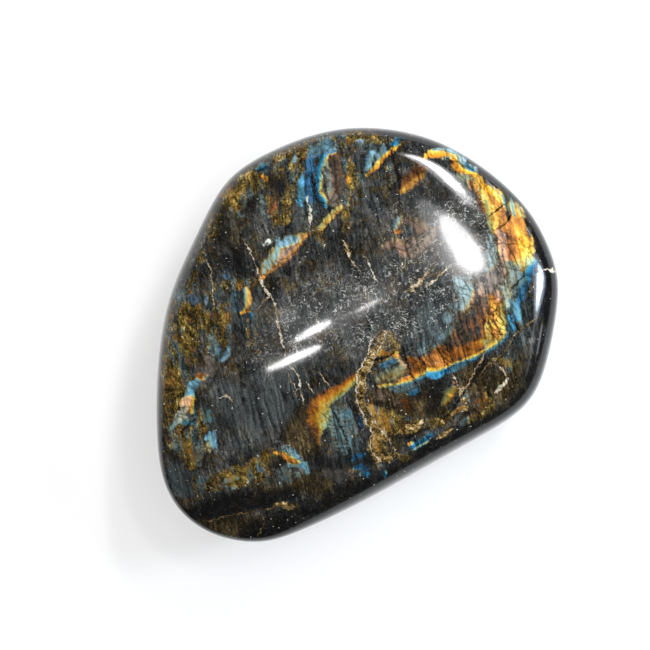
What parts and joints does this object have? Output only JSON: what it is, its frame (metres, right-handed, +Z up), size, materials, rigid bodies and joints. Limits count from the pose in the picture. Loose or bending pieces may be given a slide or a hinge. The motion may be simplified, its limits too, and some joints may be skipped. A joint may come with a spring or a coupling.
{
  "type": "polished labradorite stone",
  "caption": "Palm-sized polished labradorite freeform: a low domed slab of stone with rounded edges that rests flat on its back.",
  "frame": {"origin": "middle of the stone's box, on the plane that its flat back rests on", "axes": "+Z up through the domed face; seen from above, +X is to the right and +Y away, as in the picture"},
  "size_m": [0.08, 0.0825, 0.0282],
  "materials": {
    "polished_labradorite": "polished"
  },
  "bodies": {
    "root": {"stone": "polished_labradorite"}
  },
  "joints": []
}
